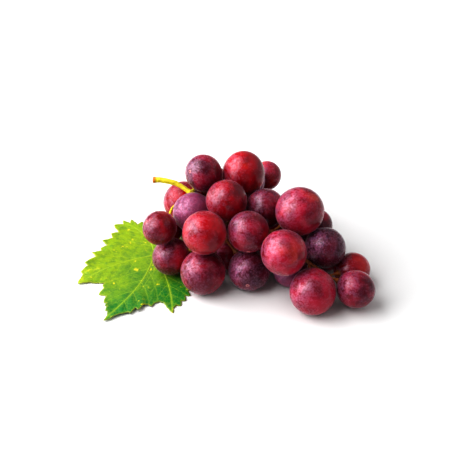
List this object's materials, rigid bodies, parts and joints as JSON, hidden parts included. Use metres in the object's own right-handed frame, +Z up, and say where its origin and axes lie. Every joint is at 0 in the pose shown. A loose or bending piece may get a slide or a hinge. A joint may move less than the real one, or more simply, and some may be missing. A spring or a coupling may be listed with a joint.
{
  "type": "bunch of grapes",
  "caption": "Bunch of red table grapes lying on its side, with its branching stalk and a toothed vine leaf under the stalk end.",
  "frame": {"origin": "middle of the bottom of the part's box, on the surface that the bunch lies on", "axes": "+X along the bunch, from the stalk's cut end and the leaf towards the tip; +Y away from the viewer; +Z up"},
  "size_m": [0.164, 0.1168, 0.0599],
  "materials": {
    "berry_skin": "satin",
    "stalk": "satin",
    "leaf": "satin"
  },
  "bodies": {
    "root": {"stalk": "stalk", "leaf": "leaf", "berry_01": "berry_skin", "berry_02": "berry_skin", "berry_03": "berry_skin", "berry_04": "berry_skin", "berry_05": "berry_skin", "berry_06": "berry_skin", "berry_07": "berry_skin", "berry_08": "berry_skin", "berry_09": "berry_skin", "berry_10": "berry_skin", "berry_11": "berry_skin", "berry_12": "berry_skin", "berry_13": "berry_skin", "berry_14": "berry_skin", "berry_15": "berry_skin", "berry_16": "berry_skin", "berry_17": "berry_skin", "berry_18": "berry_skin", "berry_19": "berry_skin", "berry_20": "berry_skin", "berry_21": "berry_skin", "berry_22": "berry_skin", "berry_23": "berry_skin", "berry_24": "berry_skin", "berry_25": "berry_skin", "berry_26": "berry_skin", "berry_27": "berry_skin", "berry_28": "berry_skin", "berry_29": "berry_skin", "berry_30": "berry_skin", "berry_31": "berry_skin", "berry_32": "berry_skin", "berry_33": "berry_skin", "berry_34": "berry_skin", "berry_35": "berry_skin", "berry_36": "berry_skin", "berry_37": "berry_skin"}
  },
  "joints": []
}
